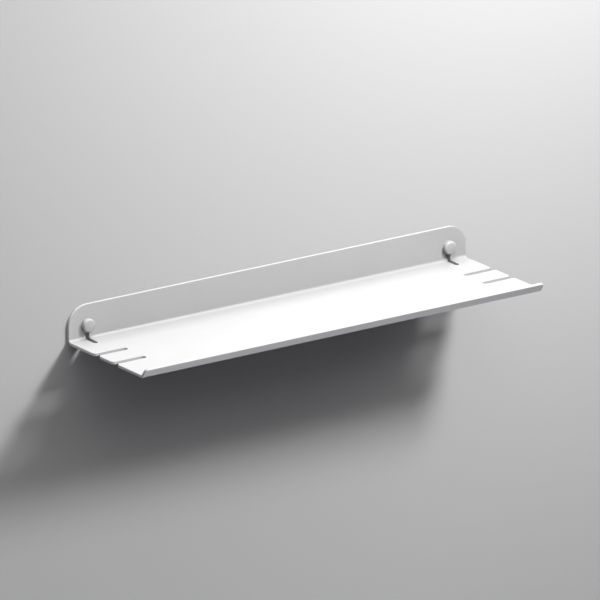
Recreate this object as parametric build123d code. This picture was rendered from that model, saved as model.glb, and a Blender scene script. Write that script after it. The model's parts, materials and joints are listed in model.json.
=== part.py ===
from build123d import *

import os
from math import cos, isclose, pi, radians, sin

# Wall shelf folded from one steel sheet and hung on two studs, each closed with a pull-off cap.
# Millimetres.  X runs along the wall, Y into the wall and Z up.
# The origin is on the wall's surface, midway between the two wall studs.

# Folded sheet
SHELF_LENGTH = 500.0
SHEET = 3.0
PLATE_HEIGHT = 37.0  # back plate, above the tray's top face
TRAY_DEPTH = 132.5  # plate's front face to the line where the underside meets the lip
LIP_LENGTH = 12.0
LIP_LEAN = 35.5  # degrees outward from upright
BACK_BEND = 3.0  # inner radius between plate and tray
FRONT_BEND = 1.5  # inner radius between tray and lip
PLATE_CORNER = 22.5
LIP_CORNER = 4.5
EDGE_BREAK = 0.4  # softened edge all round the sheet

# Slots in the two ends of the tray
END_SLOT_LENGTH = 38.0
END_SLOT_WIDTH = 7.0
END_SLOT_SPACING = 33.2
END_SLOT_MOUTH = 4.0  # radius of the corners where a slot opens

# Hanging slots, which run down the plate, round the bend and onto the tray
HANG_SLOT_WIDTH = 5.0
HANG_SLOT_REACH = 17.5  # on the tray, from the plate's front face

# Wall fixings: M4 stud, plate washer, nut and 6 mm plug
STUD_RADIUS = 2.0
STUD_PITCH = 0.7
STUD_THREAD_DEPTH = 0.42
STUD_SHANK_START = -1.5  # the plain shank passes the wall's surface
STUD_SHANK = 4.0
SCREW_PITCH = 2.0
SCREW_THREAD_DEPTH = 0.6
SCREW_LENGTH = 24.0  # wood thread inside the plug, with its point
WASHER_RADIUS = 6.0
WASHER_THICKNESS = 1.0
WASHER_EDGE = 0.2
NUT_ACROSS_FLATS = 7.0
NUT_HEIGHT = 3.2
NUT_CHAMFER = 0.35
THREAD_CLEARANCE = 0.05  # between the stud and what surrounds it, on the radius
STUD_SHOWS = 0.4  # stud end past the nut
PLUG_RADIUS = 3.0
PLUG_LENGTH = 30.0
PLUG_NECK = 8.0  # smooth length behind the wall's surface
PLUG_TOOTH = 3.5
PLUG_TOOTH_DEPTH = 0.5
PLUG_LAND = 1.0  # full-width length of each tooth
PLUG_TIP = 2.6
PLUG_TIP_WALL = 0.3
PLUG_SET_BACK = 2.5  # sunk below the wall's surface, clear of the back plate
PLUG_SLIT = 0.9

# Cap that grips the nut
CAP_RADIUS = 7.5
CAP_HEIGHT = 6.0  # from the plate's front face
CAP_CROWN = 0.6
CAP_ROUND = 2.6
CAP_WALL = 1.1
CAP_GAP = 0.1  # between the rim and the plate
CAP_INNER_ROUND = 1.6
CAP_SOCKET = 5.2  # outer radius of the socket inside
CAP_SOCKET_FREE = 0.3  # between the socket and the washer
CAP_SOCKET_CLEARANCE = 0.05  # to each flat of the nut

# Places that follow from the sizes
STUD_SPACING = SHELF_LENGTH - 2 * PLATE_CORNER
PLATE_TOP = PLATE_CORNER
TRAY_TOP = PLATE_TOP - PLATE_HEIGHT
TRAY_UNDERSIDE = TRAY_TOP - SHEET
PLATE_FRONT = -SHEET
LIP_FOOT = PLATE_FRONT - TRAY_DEPTH
TRAY_MIDDLE = PLATE_FRONT - TRAY_DEPTH / 2
HANG_SLOT_TOP = STUD_RADIUS + THREAD_CLEARANCE - HANG_SLOT_WIDTH / 2
STUD_END = SHEET + WASHER_THICKNESS + NUT_HEIGHT + STUD_SHOWS
HEXAGON_TURN = 30  # degrees, so that two of the nut's flats stand upright
SIDES = {"left": -STUD_SPACING / 2, "right": STUD_SPACING / 2}


def folded_sheet():
    """The sheet folded to its section, before any corner or slot is cut."""
    lip_tip = (
        LIP_FOOT - LIP_LENGTH * sin(radians(LIP_LEAN)),
        TRAY_UNDERSIDE + LIP_LENGTH * cos(radians(LIP_LEAN)),
    )
    corners = [(0, PLATE_TOP), (0, TRAY_UNDERSIDE), (LIP_FOOT, TRAY_UNDERSIDE), lip_tip]
    with BuildPart() as sheet:
        with BuildSketch(Plane.YZ.offset(-SHELF_LENGTH / 2)):
            with BuildLine():
                wall_side = FilletPolyline(*corners, radius=[BACK_BEND + SHEET, FRONT_BEND + SHEET])
                offset(wall_side, SHEET, side=Side.RIGHT)
            make_face()
        extrude(amount=SHELF_LENGTH)
    return sheet.part


def is_thickness(edge):
    """True for a straight edge that crosses the sheet from one face to the other."""
    return isclose(edge.length, SHEET, abs_tol=0.001)


def round_outer_corners(sheet):
    """Round the plate's two top corners and the two ends of the lip."""
    crossing = sheet.edges().filter_by(is_thickness)
    sheet = fillet(crossing.group_by(Axis.Z)[-1], PLATE_CORNER)
    crossing = sheet.edges().filter_by(is_thickness)
    return fillet(crossing.group_by(Axis.Y)[0], LIP_CORNER)


def end_slots():
    """Cutters for the two slots in each end of the tray."""
    with BuildPart() as cutters:
        with BuildSketch(Plane.XY.offset(TRAY_UNDERSIDE)):
            with Locations((0, TRAY_MIDDLE)):
                with GridLocations(SHELF_LENGTH, END_SLOT_SPACING, 2, 2):
                    SlotOverall(2 * END_SLOT_LENGTH, END_SLOT_WIDTH)
        extrude(amount=SHEET)
    return cutters.part


def round_slot_mouths(sheet):
    """Round the corners where the end slots open at the tray's ends."""
    tray_middle_height = TRAY_UNDERSIDE + SHEET / 2
    mouths = sheet.edges().filter_by(Axis.Z).filter_by(is_thickness)
    mouths = mouths.filter_by(lambda edge: isclose(abs(edge.center().X), SHELF_LENGTH / 2))
    mouths = mouths.filter_by(lambda edge: isclose(edge.center().Z, tray_middle_height))
    return fillet(mouths, END_SLOT_MOUTH)


def hanging_slot(x):
    """Cutter for one slot down the plate, round the bend and onto the tray."""
    round_end = HANG_SLOT_WIDTH / 2
    tray_end = PLATE_FRONT - HANG_SLOT_REACH + round_end
    with BuildPart() as cutter:
        with BuildSketch(Plane.XZ):
            with Locations((x, HANG_SLOT_TOP)):
                Circle(round_end)
            with Locations((x, TRAY_UNDERSIDE)):
                height = HANG_SLOT_TOP - TRAY_UNDERSIDE
                Rectangle(HANG_SLOT_WIDTH, height, align=(Align.CENTER, Align.MIN))
        extrude(amount=SHEET + BACK_BEND)
        with BuildSketch(Plane.XY.offset(TRAY_UNDERSIDE)):
            with Locations((x, tray_end)):
                Circle(round_end)
                Rectangle(HANG_SLOT_WIDTH, -tray_end, align=(Align.CENTER, Align.MIN))
        extrude(amount=SHEET + BACK_BEND)
    return cutter.part


def sharp_edges(part):
    """The edges where two faces meet at a corner and don't run smoothly into each other."""
    sharp = ShapeList()
    for edge in part.edges():
        middle = edge @ 0.5
        normals = [face.normal_at(middle) for face in part.faces() if edge in face.edges()]
        if len(normals) == 2 and normals[0].get_angle(normals[1]) > 45:
            sharp.append(edge)
    return sharp


def shelf_panel():
    """The whole folded shelf, with its slots and softened edges."""
    panel = round_outer_corners(folded_sheet())
    panel = round_slot_mouths(panel - end_slots())
    for x in SIDES.values():
        panel = panel - hanging_slot(x)
    return fillet(sharp_edges(panel), EDGE_BREAK)


def turned(profile):
    """A round solid about the stud's axis, from (radius, y) points along its outline."""
    with BuildPart() as solid:
        with BuildSketch(Plane.XY):
            with BuildLine():
                Polyline(*profile, close=True)
            make_face()
        revolve(axis=Axis.Y)
    return solid.part


def thread_points(start, end, pitch, depth):
    """Outline points of a thread's ridges along the stud, from start to end."""
    ridges = int((end - start) / pitch)
    points = []
    for ridge in range(ridges):
        foot = start + ridge * pitch
        points.append((STUD_RADIUS - depth, foot))
        points.append((STUD_RADIUS, foot + pitch / 2))
    points.append((STUD_RADIUS - depth, start + ridges * pitch))
    return points


def hanger_stud():
    """Stud with a machine thread to the room and a pointed wood thread into the plug.

    The ridges of both threads are rings.
    """
    core = STUD_RADIUS - STUD_THREAD_DEPTH
    machine_start = -STUD_END + STUD_PITCH / 2
    shank_end = STUD_SHANK_START + STUD_SHANK
    point = shank_end + SCREW_LENGTH
    outline = [(0, -STUD_END), (core, -STUD_END)]
    outline += thread_points(machine_start, STUD_SHANK_START, STUD_PITCH, STUD_THREAD_DEPTH)
    outline += [(STUD_RADIUS, STUD_SHANK_START), (STUD_RADIUS, shank_end)]
    outline += thread_points(shank_end, point - SCREW_PITCH, SCREW_PITCH, SCREW_THREAD_DEPTH)
    outline += [(0, point)]
    return turned(outline)


def wall_plug():
    """Nylon plug, expanded round the stud's wood thread, with barbs and one long slit."""
    root = PLUG_RADIUS - PLUG_TOOTH_DEPTH
    bore = STUD_RADIUS + THREAD_CLEARANCE
    plug_end = PLUG_SET_BACK + PLUG_LENGTH
    first_tooth = PLUG_SET_BACK + PLUG_NECK
    teeth = int((PLUG_LENGTH - PLUG_NECK - PLUG_TIP) / PLUG_TOOTH)
    outline = [(root, PLUG_SET_BACK), (PLUG_RADIUS, PLUG_SET_BACK + PLUG_TOOTH_DEPTH)]
    outline += [(PLUG_RADIUS, first_tooth - PLUG_TOOTH_DEPTH)]
    for tooth in range(teeth):
        start = first_tooth + tooth * PLUG_TOOTH
        outline += [(root, start), (PLUG_RADIUS, start), (PLUG_RADIUS, start + PLUG_LAND)]
    outline += [(root, first_tooth + teeth * PLUG_TOOTH), (bore + PLUG_TIP_WALL, plug_end)]
    outline += [(bore, plug_end), (bore, PLUG_SET_BACK)]
    slit_length = PLUG_LENGTH - PLUG_NECK
    slit = Pos(0, plug_end - slit_length / 2, 0) * Box(3 * PLUG_RADIUS, slit_length, PLUG_SLIT)
    return turned(outline) - slit


def plate_washer():
    """Flat washer that bridges the hanging slot."""
    hole = STUD_RADIUS + THREAD_CLEARANCE
    front = PLATE_FRONT - WASHER_THICKNESS
    outline = [(hole, PLATE_FRONT), (WASHER_RADIUS, PLATE_FRONT)]
    outline += [(WASHER_RADIUS, front + WASHER_EDGE), (WASHER_RADIUS - WASHER_EDGE, front)]
    outline += [(hole, front)]
    return turned(outline)


def hexagon(across_flats, mode=Mode.ADD):
    """A six-sided outline that stands on a corner, given the distance between its flats."""
    RegularPolygon(across_flats / 2, 6, major_radius=False, rotation=HEXAGON_TURN, mode=mode)


def hex_nut():
    """Hexagon nut with its corners and its bore's mouths turned off."""
    back = PLATE_FRONT - WASHER_THICKNESS
    front = back - NUT_HEIGHT
    corner = NUT_ACROSS_FLATS / 2 / cos(pi / 6)
    bore = STUD_RADIUS + THREAD_CLEARANCE
    with BuildPart() as prism:
        with BuildSketch(Plane.XZ.offset(-back)):
            hexagon(NUT_ACROSS_FLATS)
        extrude(amount=NUT_HEIGHT)
    blank = [(bore + NUT_CHAMFER, back), (corner - NUT_CHAMFER, back), (corner, back - NUT_CHAMFER)]
    blank += [(corner, front + NUT_CHAMFER), (corner - NUT_CHAMFER, front)]
    blank += [(bore + NUT_CHAMFER, front), (bore, front + NUT_CHAMFER), (bore, back - NUT_CHAMFER)]
    return prism.part & turned(blank)


def cap_body():
    """The cap's outer form, a low button with a rounded shoulder and a slight crown."""
    rim = PLATE_FRONT - CAP_GAP
    top = PLATE_FRONT - CAP_HEIGHT
    shoulder = top + CAP_CROWN
    with BuildPart() as body:
        with BuildSketch(Plane.XY):
            with BuildLine():
                Polyline((0, top), (0, rim), (CAP_RADIUS, rim), (CAP_RADIUS, shoulder))
                TangentArc((0, top), (CAP_RADIUS, shoulder), tangent=(-1, 0), tangent_from_first=False)
            make_face()
        revolve(axis=Axis.Y)
        fillet(body.edges().group_by(Axis.Y)[1], CAP_ROUND)
    return body.part


def snap_cap():
    """Hollow cap with a socket inside that grips the nut."""
    rim = PLATE_FRONT - CAP_GAP
    roof = PLATE_FRONT - CAP_HEIGHT + CAP_WALL
    socket_foot = PLATE_FRONT - WASHER_THICKNESS - CAP_SOCKET_FREE
    with BuildPart() as hollow:
        with BuildSketch(Plane.XZ.offset(-rim)):
            Circle(CAP_RADIUS - CAP_WALL)
        extrude(amount=rim - roof)
        fillet(hollow.edges().group_by(Axis.Y)[0], CAP_INNER_ROUND)
    with BuildPart() as socket:
        with BuildSketch(Plane.XZ.offset(-socket_foot)):
            Circle(CAP_SOCKET)
            hexagon(NUT_ACROSS_FLATS + 2 * CAP_SOCKET_CLEARANCE, mode=Mode.SUBTRACT)
        extrude(amount=socket_foot - roof)
    return cap_body() - hollow.part + socket.part


def write(node, solid):
    """Save one sub-part under its name."""
    export_step(solid, os.path.join("parts", node + ".step"))


def main():
    os.makedirs("parts", exist_ok=True)
    write("shelf_panel", shelf_panel())
    fixings = {
        "wall_plug": wall_plug(),
        "hanger_stud": hanger_stud(),
        "plate_washer": plate_washer(),
        "hex_nut": hex_nut(),
        "snap_cap": snap_cap(),
    }
    for side, x in SIDES.items():
        for name, solid in fixings.items():
            write(f"{name}_{side}", Pos(x, 0, 0) * solid)


main()
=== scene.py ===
import json
from math import cos, radians, sin

import bpy
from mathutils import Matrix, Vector


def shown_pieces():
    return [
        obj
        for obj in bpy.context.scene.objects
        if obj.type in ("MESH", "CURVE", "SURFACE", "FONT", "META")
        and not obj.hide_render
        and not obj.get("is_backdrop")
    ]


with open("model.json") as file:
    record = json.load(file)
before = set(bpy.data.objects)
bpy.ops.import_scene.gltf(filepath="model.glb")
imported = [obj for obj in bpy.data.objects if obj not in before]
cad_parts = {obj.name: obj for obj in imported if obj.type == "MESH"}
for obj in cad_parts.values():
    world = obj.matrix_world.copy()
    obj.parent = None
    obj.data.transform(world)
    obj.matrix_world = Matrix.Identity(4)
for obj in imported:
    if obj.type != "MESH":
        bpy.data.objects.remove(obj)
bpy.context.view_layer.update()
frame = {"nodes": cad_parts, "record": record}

# Wall shelf folded from one white powder-coated sheet, on a pale wall.
# Metres.  X runs along the wall, Y into the wall and Z up; the wall's surface is at y = 0.

# Camera: a long lens, from the left and a little above
CAMERA_AZIMUTH = radians(-35.085)
CAMERA_ELEVATION = radians(17.903)
CAMERA_DISTANCE = 12.752
CAMERA_TARGET = Vector((-0.0044, -0.064, 0.0015))
LENS_MM = 744.1
SENSOR_MM = 36.0
CLIP_NEAR = 0.1
CLIP_FAR = 100.0

# Stage
WALL_WIDTH = 1.2
WALL_TOP = 1.5
FLOOR_DEPTH = 2.0
FLOOR_DROP = 1.2
WALL_GAP = 0.0003  # behind the back plate
PAINT_SKIN = 0.001  # the stage is clear to rays shorter than this, so light reaches the plate's back
WALL_GREY = 0.75
FLOOR_GREY = 0.70
ROOM_LIGHT = (0.025, 0.025, 0.030, 1.0)  # what the world gives, from all sides
ROOM_SEEN = (0.60, 0.60, 0.60, 1.0)  # what the camera sees past the stage

# Lights
LIGHT_TARGET = Vector((0.0, -0.07, 0.0))
KEY_SIZE = 0.24
COOL_LIGHT = (0.93, 0.93, 1.0)

# Colours of the pieces, as linear red, green and blue
COAT_GREYER = (0.775, 0.776, 0.775)
COAT_WHITER = (0.800, 0.800, 0.797)
COAT_THIN = (0.70, 0.70, 0.69)
CAP_GREYER = (0.755, 0.755, 0.75)
CAP_WHITER = (0.780, 0.780, 0.777)
ZINC_DARK = (0.60, 0.61, 0.63)
ZINC_LIGHT = (0.72, 0.73, 0.72)
ZINC_WORN = (0.80, 0.80, 0.79)
NYLON_DARK = (0.40, 0.41, 0.42)
NYLON_LIGHT = (0.50, 0.51, 0.52)
NYLON_RUBBED = (0.62, 0.63, 0.64)
WAXY_DEPTH = 0.001  # how far light wanders inside the nylon

# Noise keeps mostly between these values
NOISE_LOW = 0.35
NOISE_HIGH = 0.65

# Cosine of the turn from a face's true normal to its rounded one
EDGE_TURN = 0.75
FACE_TURN = 0.97

# The Mix node has sockets for every kind of value under the same names; these are the colour ones
MIX_FACTOR = 0
MIX_FIRST = 6
MIX_SECOND = 7
MIX_RESULT = 2


def new_material(name):
    """A material with a node tree, and its shader ready to set."""
    material = bpy.data.materials.new(name)
    material.use_nodes = True
    return material, material.node_tree.nodes["Principled BSDF"]


def node(owner, kind, **settings):
    """A new node of a material or world, with its attributes set."""
    made = owner.node_tree.nodes.new(kind)
    for name, value in settings.items():
        setattr(made, name, value)
    return made


def link(owner, output, socket):
    owner.node_tree.links.new(output, socket)


def mix_shaders(owner, factor, first, second, output):
    """Send two shaders to the output, the first where the factor is 0 and the second where it is 1."""
    mix = node(owner, "ShaderNodeMixShader")
    factor_socket, first_socket, second_socket = mix.inputs
    link(owner, factor, factor_socket)
    link(owner, first, first_socket)
    link(owner, second, second_socket)
    link(owner, mix.outputs["Shader"], owner.node_tree.nodes[output].inputs["Surface"])


def noise(material, scale, detail):
    """Noise over the piece's own coordinates; its features are about 1 / scale metres wide."""
    place = node(material, "ShaderNodeTexCoord")
    made = node(material, "ShaderNodeTexNoise")
    made.inputs["Scale"].default_value = scale
    made.inputs["Detail"].default_value = detail
    link(material, place.outputs["Object"], made.inputs["Vector"])
    return made.outputs["Fac"]


def spread(material, value, low, high, start=NOISE_LOW, end=NOISE_HIGH):
    """The value stretched so that start to end becomes low to high."""
    made = node(material, "ShaderNodeMapRange")
    made.inputs["From Min"].default_value = start
    made.inputs["From Max"].default_value = end
    made.inputs["To Min"].default_value = low
    made.inputs["To Max"].default_value = high
    link(material, value, made.inputs["Value"])
    return made.outputs["Result"]


def clouds(material, scale, detail):
    """A soft uneven mask from 0 to 1."""
    return spread(material, noise(material, scale, detail), low=0.0, high=1.0)


def blend_colours(material, factor, first, second):
    """A colour that goes from first to second as the factor goes from 0 to 1."""
    made = node(material, "ShaderNodeMix", data_type="RGBA")
    link(material, factor, made.inputs[MIX_FACTOR])
    for socket, colour in ((made.inputs[MIX_FIRST], first), (made.inputs[MIX_SECOND], second)):
        if isinstance(colour, bpy.types.NodeSocket):
            link(material, colour, socket)
        else:
            socket.default_value = (*colour, 1.0)
    return made.outputs[MIX_RESULT]


def near_edges(material, radius, most):
    """A mask that rises to most on the edges and is 0 on the open faces, radius metres away."""
    rounded = node(material, "ShaderNodeBevel", samples=4)
    rounded.inputs["Radius"].default_value = radius
    flat = node(material, "ShaderNodeNewGeometry")
    compare = node(material, "ShaderNodeVectorMath", operation="DOT_PRODUCT")
    link(material, rounded.outputs["Normal"], compare.inputs[0])
    link(material, flat.outputs["Normal"], compare.inputs[1])
    return spread(material, compare.outputs["Value"], low=most, high=0.0, start=EDGE_TURN, end=FACE_TURN)


def bump(material, shader, layers):
    """Relief on the shader, from (height, depth in metres) layers."""
    normal = None
    for height, depth in layers:
        made = node(material, "ShaderNodeBump")
        made.inputs["Strength"].default_value = 1.0
        made.inputs["Distance"].default_value = depth
        link(material, height, made.inputs["Height"])
        if normal is not None:
            link(material, normal, made.inputs["Normal"])
        normal = made.outputs["Normal"]
    link(material, normal, shader.inputs["Normal"])


def powder_coat():
    """Satin white powder coat: fine orange peel, and a thinner, greyer film on the edges."""
    material, shader = new_material("powder_coat_white")
    colour = blend_colours(material, clouds(material, scale=9.0, detail=3.0), COAT_GREYER, COAT_WHITER)
    colour = blend_colours(material, near_edges(material, radius=0.0006, most=0.35), colour, COAT_THIN)
    link(material, colour, shader.inputs["Base Color"])
    dull = spread(material, noise(material, scale=60.0, detail=4.0), low=0.30, high=0.38)
    link(material, dull, shader.inputs["Roughness"])
    peel = noise(material, scale=450.0, detail=1.0)
    grain = noise(material, scale=3200.0, detail=1.0)
    bump(material, shader, [(peel, 0.00006), (grain, 0.000012)])
    return material


def cap_plastic():
    """Satin moulded plastic with a very fine spark-eroded grain."""
    material, shader = new_material("cap_plastic")
    colour = blend_colours(material, clouds(material, scale=120.0, detail=2.0), CAP_GREYER, CAP_WHITER)
    link(material, colour, shader.inputs["Base Color"])
    dull = spread(material, noise(material, scale=300.0, detail=3.0), low=0.38, high=0.50)
    link(material, dull, shader.inputs["Roughness"])
    grain = noise(material, scale=5200.0, detail=2.0)
    bump(material, shader, [(grain, 0.00001)])
    return material


def zinc_plate():
    """Bright zinc plating, a little cloudy, with fine tool marks and worn edges."""
    material, shader = new_material("zinc_plated_steel")
    shader.inputs["Metallic"].default_value = 1.0
    colour = blend_colours(material, clouds(material, scale=260.0, detail=4.0), ZINC_DARK, ZINC_LIGHT)
    colour = blend_colours(material, near_edges(material, radius=0.00015, most=0.6), colour, ZINC_WORN)
    link(material, colour, shader.inputs["Base Color"])
    dull = spread(material, noise(material, scale=900.0, detail=3.0), low=0.22, high=0.42)
    link(material, dull, shader.inputs["Roughness"])
    marks = noise(material, scale=4200.0, detail=3.0)
    bump(material, shader, [(marks, 0.000008)])
    return material


def plug_nylon():
    """Grey moulded nylon, slightly waxy and uneven, rubbed paler on the edges."""
    material, shader = new_material("plug_nylon")
    shader.inputs["Subsurface Weight"].default_value = 0.15
    shader.inputs["Subsurface Radius"].default_value = (WAXY_DEPTH, WAXY_DEPTH, WAXY_DEPTH)
    colour = blend_colours(material, clouds(material, scale=180.0, detail=3.0), NYLON_DARK, NYLON_LIGHT)
    colour = blend_colours(material, near_edges(material, radius=0.00025, most=0.5), colour, NYLON_RUBBED)
    link(material, colour, shader.inputs["Base Color"])
    dull = spread(material, noise(material, scale=500.0, detail=3.0), low=0.42, high=0.58)
    link(material, dull, shader.inputs["Roughness"])
    grain = noise(material, scale=2600.0, detail=2.0)
    bump(material, shader, [(grain, 0.00002)])
    return material


def stage_paint(name, grey):
    """Pale matt paint, clear from behind so that the shelf's back and underside can be seen."""
    material, shader = new_material(name)
    shader.inputs["Base Color"].default_value = (grey, grey, grey, 1.0)
    shader.inputs["Roughness"].default_value = 0.9
    shader.inputs["Specular IOR Level"].default_value = 0.1
    clear = node(material, "ShaderNodeBsdfTransparent")
    side = node(material, "ShaderNodeNewGeometry")
    ray = node(material, "ShaderNodeLightPath")
    short = node(material, "ShaderNodeMath", operation="LESS_THAN")
    short.inputs[1].default_value = PAINT_SKIN
    link(material, ray.outputs["Ray Length"], short.inputs[0])
    either = node(material, "ShaderNodeMath", operation="MAXIMUM")
    link(material, side.outputs["Backfacing"], either.inputs[0])
    link(material, short.outputs["Value"], either.inputs[1])
    painted = shader.outputs["BSDF"]
    mix_shaders(material, either.outputs["Value"], painted, clear.outputs["BSDF"], "Material Output")
    return material


def dress_nodes():
    """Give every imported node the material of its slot.

    Bounced light does not see the pieces, so the bright tray casts no glow on the wall or the back plate.
    """
    makers = {
        "powder_coat_white": powder_coat,
        "cap_plastic": cap_plastic,
        "zinc_plated_steel": zinc_plate,
        "plug_nylon": plug_nylon,
    }
    materials = {name: make() for name, make in makers.items()}
    for part in frame["record"]["subparts"]:
        piece = frame["nodes"][part["node"]]
        piece.data.materials.clear()
        piece.data.materials.append(materials[part["material_slot"]])
        piece.visible_diffuse = False


def flat_sheet(name, corners, material):
    """A flat four-cornered sheet. It faces the side from which its corners run anticlockwise."""
    mesh = bpy.data.meshes.new(name)
    mesh.from_pydata(corners, [], [(0, 1, 2, 3)])
    mesh.materials.append(material)
    made = bpy.data.objects.new(name, mesh)
    bpy.context.scene.collection.objects.link(made)
    return made


def build_wall():
    """The wall behind the shelf, facing the room."""
    half = WALL_WIDTH / 2
    corners = [
        (-half, WALL_GAP, -FLOOR_DROP),
        (half, WALL_GAP, -FLOOR_DROP),
        (half, WALL_GAP, WALL_TOP),
        (-half, WALL_GAP, WALL_TOP),
    ]
    wall = flat_sheet("wall", corners, stage_paint("wall_paint", WALL_GREY))
    wall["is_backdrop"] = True
    return wall


def build_floor():
    """The pale floor, far below the shelf."""
    half = WALL_WIDTH / 2
    corners = [
        (-half, -FLOOR_DEPTH, -FLOOR_DROP),
        (half, -FLOOR_DEPTH, -FLOOR_DROP),
        (half, WALL_GAP, -FLOOR_DROP),
        (-half, WALL_GAP, -FLOOR_DROP),
    ]
    floor = flat_sheet("floor", corners, stage_paint("floor_paint", FLOOR_GREY))
    floor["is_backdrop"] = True
    return floor


def outward(azimuth, elevation):
    """The direction into the room, by radians to the right of straight ahead and radians up."""
    return Vector((sin(azimuth) * cos(elevation), -cos(azimuth) * cos(elevation), sin(elevation)))


def around_shelf(right, up, distance):
    """A place in the room, by degrees to the right of straight ahead and degrees above the shelf."""
    return LIGHT_TARGET + distance * outward(radians(right), radians(up))


def light_group(name, members):
    """A collection that a light can be limited to."""
    group = bpy.data.collections.new(name)
    for member in members:
        group.objects.link(member)
    return group


def soft_box(name, place, size, watts, lit):
    """A square soft light aimed at the shelf, that lights only the objects in one group.

    Its light is sampled only from the lit surface, because the other way round it leaks through
    pieces that bounced light does not see.
    """
    data = bpy.data.lights.new(name, "AREA")
    data.shape = "SQUARE"
    data.size = size
    data.energy = watts
    data.cycles.use_multiple_importance_sampling = False
    lamp = bpy.data.objects.new(name, data)
    lamp.location = place
    lamp.rotation_euler = (LIGHT_TARGET - place).to_track_quat("-Z", "Y").to_euler()
    lamp.visible_camera = False
    lamp.light_linking.receiver_collection = lit
    bpy.context.scene.collection.objects.link(lamp)
    return lamp


def build_lights(wall, floor):
    """A small key light from the upper right throws the shadows, and soft boxes fill them.

    The wall and the shelf have their own boxes, so that the tray can be brighter than the wall.
    """
    shelf = light_group("lit_shelf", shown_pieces())
    backdrop = light_group("lit_backdrop", [wall, floor])
    key_place = around_shelf(right=32, up=44, distance=1.24)
    soft_box("wall_key", key_place, size=KEY_SIZE, watts=12.9, lit=backdrop)
    soft_box("wall_right", around_shelf(right=50, up=45, distance=3.0), size=2.6, watts=20.0, lit=backdrop)
    soft_box("wall_left", around_shelf(right=-50, up=45, distance=3.0), size=2.6, watts=13.2, lit=backdrop)
    soft_box("wall_top", around_shelf(right=0, up=60, distance=3.0), size=3.2, watts=17.2, lit=backdrop)
    soft_box("shelf_key", key_place, size=KEY_SIZE, watts=8.0, lit=shelf)
    soft_box("shelf_top", around_shelf(right=0, up=82, distance=1.6), size=0.8, watts=15.0, lit=shelf)
    soft_box("shelf_front", around_shelf(right=0, up=35, distance=2.2), size=1.2, watts=6.7, lit=shelf)
    soft_box("shelf_left", around_shelf(right=-25, up=5, distance=2.2), size=1.2, watts=5.0, lit=shelf)
    low_place = around_shelf(right=0, up=-28, distance=2.2)
    below = soft_box("shelf_low", low_place, size=1.4, watts=14.0, lit=shelf)
    below.data.color = COOL_LIGHT
    soft_box("shelf_rear", around_shelf(right=200, up=15, distance=2.2), size=1.4, watts=20.0, lit=shelf)
    ridge_place = around_shelf(right=180, up=66, distance=1.64)
    over_wall = soft_box("shelf_ridge", ridge_place, size=1.0, watts=7.2, lit=shelf)
    over_wall.light_linking.blocker_collection = shelf  # the wall does not block this one


def build_world():
    """Dim cool light all round, and a pale ground for the views that look past the wall."""
    world = bpy.data.worlds.new("studio")
    world.use_nodes = True
    bpy.context.scene.world = world
    given = world.node_tree.nodes["Background"]
    given.inputs["Color"].default_value = ROOM_LIGHT
    seen = node(world, "ShaderNodeBackground")
    seen.inputs["Color"].default_value = ROOM_SEEN
    ray = node(world, "ShaderNodeLightPath")
    by_camera = ray.outputs["Is Camera Ray"]
    mix_shaders(world, by_camera, given.outputs["Background"], seen.outputs["Background"], "World Output")


def build_camera():
    """The photograph's view."""
    back = outward(CAMERA_AZIMUTH, CAMERA_ELEVATION)
    data = bpy.data.cameras.new("camera")
    data.lens = LENS_MM
    data.sensor_width = SENSOR_MM
    data.clip_start = CLIP_NEAR
    data.clip_end = CLIP_FAR
    camera = bpy.data.objects.new("camera", data)
    camera.location = CAMERA_TARGET + back * CAMERA_DISTANCE
    camera.rotation_euler = (-back).to_track_quat("-Z", "Y").to_euler()
    bpy.context.scene.collection.objects.link(camera)
    bpy.context.scene.camera = camera


dress_nodes()
build_lights(build_wall(), build_floor())
build_world()
build_camera()
bpy.context.scene.view_settings.view_transform = "Standard"
